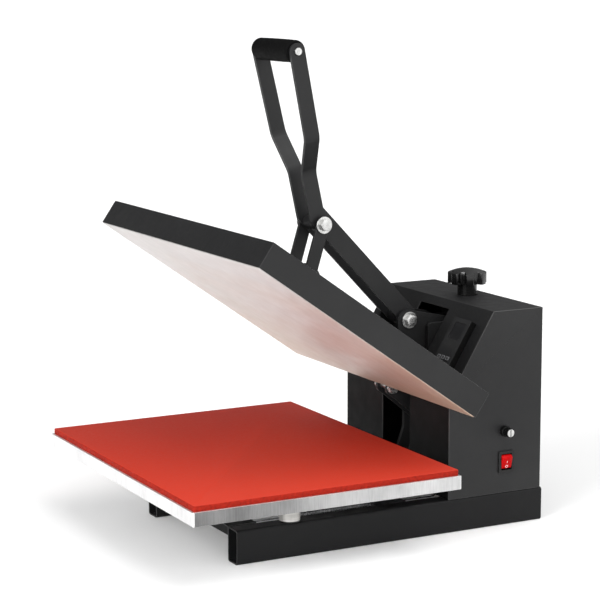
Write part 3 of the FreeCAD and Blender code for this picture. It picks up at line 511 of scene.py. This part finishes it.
def axes(direction):
    """Two directions square to a given one."""
    along = Vector(direction).normalized()
    helper = Vector((0, 0, 1)) if abs(along.z) < 0.9 else Vector((0, 1, 0))
    first = helper.cross(along).normalized()
    return first, along.cross(first)


def lathe(shape, centre, direction, profile, count):
    """A surface turned about a line, from (radius, distance along it) points."""
    along = Vector(direction).normalized()
    first, second = axes(direction)
    rings = []
    for radius, distance in profile:
        ring = []
        for step in range(count):
            angle = 2 * math.pi * step / count
            out = first * math.cos(angle) + second * math.sin(angle)
            ring.append(centre + along * distance + out * radius)
        rings.append(ring)
    loft(shape, rings)


def hex_radius(angle, apothem):
    """How far a hexagon's side is from its middle, at an angle."""
    sixth = math.pi / 3
    off = (angle + sixth / 2) % sixth - sixth / 2
    return apothem / math.cos(off)


def hex_head(shape, centre, direction, apothem, thick, turn=0.0, bore=0.0):
    """A hexagon head or nut with the round chamfer that its turned face leaves."""
    along = Vector(direction).normalized()
    first, second = axes(direction)
    count, chamfer = 72, math.tan(math.radians(30))
    face_radius = apothem * 0.94
    crown = 0.0 if bore else 0.15 * MM
    rings = [[], [], [], []]
    for step in range(count):
        angle = 2 * math.pi * step / count
        out = first * math.cos(angle + turn) + second * math.sin(angle + turn)
        side = hex_radius(angle, apothem)
        rings[0].append(centre + out * side)
        rings[1].append(centre + out * side + along * (thick - (side - face_radius) * chamfer))
        rings[2].append(centre + out * face_radius + along * thick)
        rings[3].append(centre + out * max(bore, apothem * 0.5) + along * (thick + crown))
    loft(shape, rings)


def tube_along(shape, points, radius, sides=8):
    """A round wire that follows a line of points."""
    first, _ = axes(points[1] - points[0])
    rings = []
    for step, point in enumerate(points):
        ahead = points[min(step + 1, len(points) - 1)]
        behind = points[max(step - 1, 0)]
        along = (ahead - behind).normalized()
        first = (first - along * first.dot(along)).normalized()
        second = along.cross(first)
        ring = []
        for side in range(sides):
            angle = 2 * math.pi * side / sides
            ring.append(point + (first * math.cos(angle) + second * math.sin(angle)) * radius)
        rings.append(ring)
    loft(shape, rings)


def plan_ring(low, high, radius, height, inset=0.0, steps=6):
    """A rounded rectangle of points at one height, drawn in by an inset."""
    ring = []
    corners = (
        (high.x - radius, high.y - radius, 0),
        (low.x + radius, high.y - radius, 90),
        (low.x + radius, low.y + radius, 180),
        (high.x - radius, low.y + radius, 270),
    )
    reach = radius - inset
    for x, y, start in corners:
        for step in range(steps + 1):
            angle = math.radians(start + 90 * step / steps)
            ring.append(Vector((x + reach * math.cos(angle), y + reach * math.sin(angle), height)))
    return ring


# ---------------------------------------------------------------- pieces


def make_pad():
    """The red sponge sheet: a moulded top skin and a cut edge all round."""
    low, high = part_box("silicone_pad")
    shape = bmesh.new()
    radius, edge = 3 * MM, 0.7 * MM
    rows = [
        (low.z, 0.3 * MM),
        (low.z + 0.3 * MM, 0.0),
        (high.z - edge, 0.0),
        (high.z - 0.3 * edge, 0.3 * edge),
        (high.z, edge),
    ]
    rings = [plan_ring(low, high, radius, height, inset) for height, inset in rows]
    loft(shape, rings)
    shape.normal_update()
    for face in shape.faces:
        if abs(face.normal.z) < 0.5 or face.calc_center_median().z < high.z - edge * 0.5:
            face.material_index = 1
    pad = finish_piece(
        "sponge_pad", shape, "base", (PAD_SKIN, PAD_CUT), ("silicone_pad",), 50
    )


def make_spring(side):
    """A close-wound extension spring with a hook at each end."""
    low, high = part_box(f"return_spring_{side}")
    centre = (low + high) / 2
    wire, pitch, per_turn = 1.1 * MM, 2.45 * MM, 14
    coil_radius = (high.x - low.x) / 2 - wire
    front_straight, rear_straight = 83.3 * MM, 94.2 * MM
    start, stop = low.y + front_straight, high.y - rear_straight
    turns = round((stop - start) / pitch)
    stud_reach, hook, loop, lead = 3.4 * MM, 4.3 * MM, 7.3 * MM, 5 * MM
    stud = Vector((centre.x, low.y - stud_reach, centre.z))
    rod = middle("tail_rod")
    tail = Vector((centre.x, rod.y, rod.z))
    points = []
    for step in range(13):
        angle = math.radians(-200 + 290 * step / 12)
        points.append(stud + Vector((0, -math.cos(angle) * hook, -math.sin(angle) * hook)))
    points.reverse()
    points.append(Vector((centre.x, stud.y + 12 * MM, centre.z)))
    points.append(Vector((centre.x, start - lead, centre.z)))
    for step in range(turns * per_turn + 1):
        angle = 2 * math.pi * step / per_turn
        offset = Vector((math.cos(angle), 0, math.sin(angle))) * coil_radius
        run = start + (stop - start) * step / (turns * per_turn)
        points.append(Vector((centre.x, run, centre.z)) + offset)
    straight_start, straight_stop = stop + lead, tail.y - 12 * MM
    for step in range(17):
        run = straight_start + (straight_stop - straight_start) * step / 16
        points.append(Vector((centre.x, run, centre.z)))
    for step in range(15):
        angle = math.radians(-150 + 300 * step / 14)
        points.append(tail + Vector((0, math.cos(angle) * loop, -math.sin(angle) * loop)))
    shape = bmesh.new()
    tube_along(shape, points, wire)
    piece = finish_piece(
        f"coil_spring_{side}", shape, None, (WIRE,), (f"return_spring_{side}",), 60
    )
    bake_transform(piece)


def make_knob():
    """A seven-lobed star knob: one shallow dome over upright scalloped sides, and a neck."""
    low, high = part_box("pressure_knob")
    centre = (low + high) / 2
    reach = (high.y - low.y) / 2
    lobes, count, turn = 7, 336, math.radians(-1.7)
    scallop, tall, rise, rim = 7.2 * MM, 23.2 * MM, 6.6 * MM, 0.8 * MM
    foot = high.z - tall

    def outline(angle):
        wave = 0.5 + 0.5 * math.cos(lobes * (angle + turn))
        share = min(max((wave - 0.3) / 0.55, 0), 1)
        return reach - scallop * share * share * (3 - 2 * share)

    def dome(radius):
        return tall - rise * (radius / reach) ** 2

    def ring(shrink, height):
        points = []
        for step in range(count):
            angle = 2 * math.pi * step / count
            radius = outline(angle)
            level = dome(radius) - height if shrink is None else height
            used = radius if shrink is None else max(radius - shrink, 0.2 * MM)
            points.append(Vector((
                centre.x + used * math.cos(angle), centre.y + used * math.sin(angle), foot + level
            )))
        return points

    def cap(share):
        points = []
        for step in range(count):
            angle = 2 * math.pi * step / count
            radius = (outline(angle) - 0.5 * rim) * share
            points.append(Vector((
                centre.x + radius * math.cos(angle), centre.y + radius * math.sin(angle),
                foot + dome(radius) - 0.1 * MM,
            )))
        return points

    shape = bmesh.new()
    rings = [ring(9 * MM, 3 * MM), ring(1.6 * MM, 0.2 * MM), ring(0.6 * MM, 0.0), ring(0.0, 0.8 * MM)]
    rings.append(ring(None, rim))
    rings += [cap(share) for share in (1.0, 0.985, 0.94, 0.88, 0.8, 0.7, 0.58, 0.44, 0.3, 0.16, 0.04)]
    loft(shape, rings)
    neck, chamfer, depth = 14.6 * MM, 0.8 * MM, foot - low.z
    profile = [
        (neck - chamfer, 0),
        (neck, chamfer),
        (neck, depth + 1 * MM),
        (neck + 1 * MM, depth + 3.5 * MM),
    ]
    lathe(shape, Vector((centre.x, centre.y, low.z)), (0, 0, 1), profile, 64)
    finish_piece("star_knob", shape, "knob", (GLOSSY,), ("pressure_knob",), 40)


def make_grip():
    """A foam sleeve with rolled ends, a little fuller in the middle."""
    low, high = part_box("grip")
    centre = (low + high) / 2
    length = high.x - low.x
    shape = bmesh.new()
    crown, roll, rows = 0.35 * MM, 3.2 * MM, 22
    radius = (high.z - low.z) / 2 - crown
    rolled = []
    for step in range(7):
        angle = math.radians(90 * step / 6)
        rolled.append((radius - roll * (1 - math.sin(angle)), roll * (1 - math.cos(angle))))
    profile = list(rolled)
    for step in range(1, rows):
        run = roll + (length - 2 * roll) * step / rows
        profile.append((radius + math.sin(math.pi * step / rows) * crown, run))
    profile += [(out, length - run) for out, run in reversed(rolled)]
    lathe(shape, Vector((low.x, centre.y, centre.z)), (1, 0, 0), profile, 56)
    finish_piece("foam_grip", shape, "lever", (GRIP,), ("grip",), 60)


def make_hardware():
    """Hexagon heads with turned chamfers for the two pivot bolts and their nuts."""
    shank, chamfer, head_turn, nut_turn = 5 * MM, 0.8 * MM, 0.35, 0.2
    for pivot, body in (("upper_pivot", "slider"), ("knee", "lever")):
        low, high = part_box(f"{pivot}_bolt")
        nut_low, nut_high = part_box(f"{pivot}_nut")
        _, washer_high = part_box(f"{pivot}_washers")
        centre = (nut_low + nut_high) / 2
        apothem = (nut_high.z - nut_low.z) / 2 * math.cos(math.pi / 6)
        shape = bmesh.new()
        face = Vector((washer_high.x, centre.y, centre.z))
        hex_head(shape, face, (1, 0, 0), apothem, high.x - washer_high.x, head_turn)
        start = Vector((low.x, centre.y, centre.z))
        length = washer_high.x - low.x
        profile = [(shank - chamfer, 0), (shank, chamfer), (shank, length)]
        lathe(shape, start, (1, 0, 0), profile, 32)
        finish_piece(
            f"{pivot}_hex_bolt", shape, body, (ZINC,), (f"{pivot}_bolt",), 28
        )
        shape = bmesh.new()
        face = Vector((nut_high.x, centre.y, centre.z))
        hex_head(shape, face, (-1, 0, 0), apothem, nut_high.x - nut_low.x, nut_turn, shank)
        finish_piece(f"{pivot}_hex_nut", shape, body, (ZINC,), (f"{pivot}_nut",), 28)


def slope_frame():
    """The slope's turn (across, up the slope, outward) and the middle of its foot."""
    run, rise, foot_height = 73.4, 119.0, 197.8 * MM
    foot = Vector((0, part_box("case_wrap")[0].y, foot_height))
    return Matrix.Rotation(math.atan2(rise, run), 4, "X"), foot


def make_buttons():
    """Three keys with pale rims."""
    turn, _ = slope_frame()
    size, rim = Vector((8.0, 6.0, 5.4)) * MM, 1.3 * MM
    low, high = -size / 2, size / 2
    for side in ("left", "middle", "right"):
        node = f"button_{side}"
        shape = bmesh.new()
        rows = [
            (low.z, 0.0),
            (high.z - 0.4 * MM, 0.0),
            (high.z - 0.1 * MM, 0.15 * MM),
            (high.z, 0.4 * MM),
            (high.z, rim),
            (high.z - 0.25 * MM, rim + 0.1 * MM),
        ]
        rings = []
        for height, inset in rows:
            draw = Vector((inset, inset, 0))
            radius = max(1.0 * MM - inset, 0.2 * MM)
            rings.append(plan_ring(low + draw, high - draw, radius, height))
        loft(shape, rings)
        for face in shape.faces:
            heights = [vertex.co.z for vertex in face.verts]
            far = max(abs(vertex.co.x) for vertex in face.verts)
            if min(heights) > high.z - 0.42 * MM and far > size.x / 2 - rim - 0.05 * MM:
                face.material_index = 1
        spot = Matrix.Translation(middle(node)) @ turn
        bmesh.ops.transform(shape, matrix=spot, verts=shape.verts)
        finish_piece(f"{node}_key", shape, node, (BUTTON, BUTTON_RING), (node,), 40)


def make_badge():
    """A dark half-round patch on the control box, over the three keys."""
    across, low, half, tall = 101.5 * MM, 57.5 * MM, 17 * MM, 9 * MM
    seat, face = 9.9 * MM, 10.12 * MM
    turn, foot = slope_frame()
    shape = bmesh.new()
    outline = []
    for step in range(33):
        angle = math.pi * step / 32
        outline.append((across + half * math.cos(angle), low + tall * math.sin(angle)))
    for level in (seat, face):
        shape.faces.new([shape.verts.new(Vector((x, y, level))) for x, y in outline])
    lower, upper = (list(face.verts) for face in shape.faces)
    for step in range(len(outline)):
        following = (step + 1) % len(outline)
        shape.faces.new((lower[step], lower[following], upper[following], upper[step]))
    bmesh.ops.transform(shape, matrix=Matrix.Translation(foot) @ turn, verts=shape.verts)
    finish_piece("control_badge", shape, "base", (FACE_SHADE,), (), 40)


def make_rocker():
    """The red rocker with its on and off marks, its upper half standing out."""
    pivot_place, tilt_angle = 146.2 * MM, math.radians(14)
    centre = Vector((pivot_place, middle("switch_rocker").y, middle("switch_bezel").z))
    half_wide, half_tall, face_half, face_out, end_out = 8.6, 10.6, 8.4, 6.6, 2.6
    outline = [(-5.0, -half_tall), (end_out, -half_tall)]
    for step in range(25):
        up = -face_half + 2 * face_half * step / 24
        ease = max(0.0, abs(up) - face_half + 1.2) / 1.2
        outline.append((face_out - 0.45 * ease ** 2, up))
    outline += [(end_out, half_tall), (-5.0, half_tall)]
    shape = bmesh.new()
    rings = []
    ends = ((-1, 0.7), (-0.975, 0.25), (-0.93, 0.0), (0.93, 0.0), (0.975, 0.25), (1, 0.7))
    for across, draw in ends:
        rings.append([
            Vector((out - draw, across * half_wide, up * (1 - 0.03 * draw))) * MM
            for out, up in outline
        ])
    loft(shape, rings)
    tilt = Matrix.Translation(centre) @ Matrix.Rotation(tilt_angle, 4, "Y")
    bmesh.ops.transform(shape, matrix=tilt, verts=shape.verts)
    finish_piece(
        "red_rocker", shape, "switch_rocker", (ROCKER,), ("switch_rocker",), 40
    )

    marks = bmesh.new()
    ring_up, ring_inner, ring_outer, count = -5.2, 1.5, 2.2, 28
    proud = face_out + 0.06
    inner, outer = [], []
    for step in range(count):
        angle = 2 * math.pi * step / count
        for radius, store in ((ring_inner, inner), (ring_outer, outer)):
            up = ring_up + 0.9 * radius * math.sin(angle)
            store.append(marks.verts.new(Vector((proud, radius * math.cos(angle), up)) * MM))
    for step in range(count):
        following = (step + 1) % count
        marks.faces.new((inner[step], outer[step], outer[following], inner[following]))
    bar = [(-0.28, -0.1), (0.28, -0.1), (0.28, 3.2), (-0.28, 3.2)]
    marks.faces.new([marks.verts.new(Vector((proud, across, up)) * MM) for across, up in bar])
    extruded = bmesh.ops.extrude_face_region(marks, geom=marks.faces[:])
    moved = [item for item in extruded["geom"] if isinstance(item, bmesh.types.BMVert)]
    bmesh.ops.translate(marks, verts=moved, vec=Vector((-0.3 * MM, 0, 0)))
    bmesh.ops.transform(marks, matrix=tilt, verts=marks.verts)
    finish_piece("rocker_marks", marks, "switch_rocker", (MARK,), (), 40)


# ---------------------------------------------------------------- surroundings


def make_stage():
    """A plain pale floor."""
    shape = bmesh.new()
    reach = 60
    for corner in ((-reach, -reach), (reach, -reach), (reach, reach), (-reach, reach)):
        shape.verts.new((*corner, 0))
    shape.faces.new(shape.verts[:])
    data = bpy.data.meshes.new("floor")
    shape.to_mesh(data)
    shape.free()
    pale, tree, shader = material("pale_floor", Roughness=0.8, Specular_IOR_Level=0.1)
    colour = tint(tree, grain(tree, 0.6, 2), (0.89, 0.89, 0.89), (0.92, 0.92, 0.92))
    tree.links.new(colour, shader.inputs["Base Color"])
    data.materials.append(pale)
    floor = bpy.data.objects.new("floor", data)
    bpy.context.scene.collection.objects.link(floor)


SUNS = (
    ("overhead", (0.40, 0.15, 0.90), 0.9, 40),
    ("front", (0.30, -0.80, 0.27), 3.0, 35),
)


def make_sun(name, towards, strength, spread_angle):
    """A soft light from a direction, as wide in degrees as its spread."""
    data = bpy.data.lights.new(name, "SUN")
    data.energy = strength
    data.angle = math.radians(spread_angle)
    sun = bpy.data.objects.new(name, data)
    bpy.context.scene.collection.objects.link(sun)
    sun.rotation_euler = (-Vector(towards)).to_track_quat("-Z", "Y").to_euler()


BRIGHT_SIDE = (0.85, 0.42, 0.25)
STUDIO_STRENGTH = 1.35


def make_world():
    """A bright studio to the right and the back, dim to the left and the front."""
    world = bpy.data.worlds.new("studio")
    bpy.context.scene.world = world
    world.use_nodes = True
    tree = world.node_tree
    direction = add(tree, "ShaderNodeTexCoord").outputs["Generated"]
    towards = add(
        tree, "ShaderNodeVectorMath", {0: direction, 1: BRIGHT_SIDE}, operation="DOT_PRODUCT"
    ).outputs["Value"]
    along = {"Value": towards, "From Min": -0.5, "From Max": 0.6, "To Min": 0.0, "To Max": 1.0}
    share = add(
        tree, "ShaderNodeMapRange", along, interpolation_type="SMOOTHSTEP"
    ).outputs["Result"]
    ramp = tint(tree, share, (0.12, 0.12, 0.12), (1.0, 1.0, 1.0), 0.0, 1.0)
    background = tree.nodes["Background"]
    tree.links.new(ramp, background.inputs["Color"])
    background.inputs["Strength"].default_value = STUDIO_STRENGTH


bpy.context.scene.view_settings.view_transform = "Standard"
make_camera()
make_stage()
make_world()
for sun in SUNS:
    make_sun(*sun)

dress_cad()
make_pad()
make_spring("left")
make_spring("right")
make_knob()
make_grip()
make_hardware()
make_buttons()
make_badge()
make_rocker()
